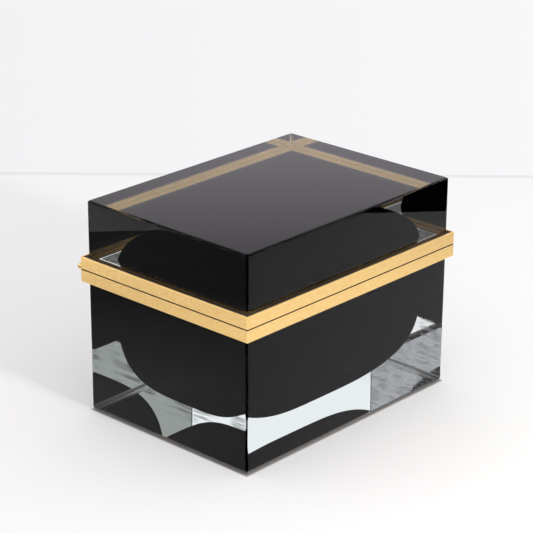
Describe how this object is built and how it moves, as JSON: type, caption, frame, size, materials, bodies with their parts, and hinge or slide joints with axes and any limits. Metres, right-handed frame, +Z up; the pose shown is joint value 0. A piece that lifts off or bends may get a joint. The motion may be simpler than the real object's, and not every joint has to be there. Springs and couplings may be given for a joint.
{
  "type": "hinged cased glass box",
  "caption": "Rectangular lidded table box of clear glass over a black bowl, with gilt brass collars and a full-width back hinge.",
  "frame": {"origin": "under the middle of the base glass, on the surface that the box stands on", "axes": "+Z up, +X along the long side, front towards -Y, hinge at the back towards +Y"},
  "size_m": [0.1802, 0.138, 0.1313],
  "materials": {
    "clear_glass": "polished",
    "black_glass": "polished",
    "gilt_brass": "satin, brushed",
    "black_rubber": "matte",
    "dark_cement": "matte"
  },
  "bodies": {
    "base": {"base_clear_casing": "clear_glass", "base_black_liner": "black_glass", "lower_cement_bed": "dark_cement", "lower_collar_front": "gilt_brass", "lower_collar_back": "gilt_brass", "lower_collar_left": "gilt_brass", "lower_collar_right": "gilt_brass", "lower_hinge_knuckle_1": "gilt_brass", "lower_hinge_knuckle_2": "gilt_brass", "lower_hinge_knuckle_3": "gilt_brass", "lower_hinge_knuckle_4": "gilt_brass", "hinge_pin": "gilt_brass"},
    "lid": {"lid_clear_casing": "clear_glass", "lid_black_liner": "black_glass", "upper_cement_bed": "dark_cement", "lid_seal": "black_rubber", "upper_collar_front": "gilt_brass", "upper_collar_back": "gilt_brass", "upper_collar_left": "gilt_brass", "upper_collar_right": "gilt_brass", "upper_hinge_knuckle_1": "gilt_brass", "upper_hinge_knuckle_2": "gilt_brass", "upper_hinge_knuckle_3": "gilt_brass"}
  },
  "joints": [
    {"name": "lid_hinge", "type": "hinge", "parent": "base", "child": "lid", "pos_m": [0, 0.06915, 0.0895], "axis": [-1, 0, 0], "range_deg": [0, 100]}
  ]
}
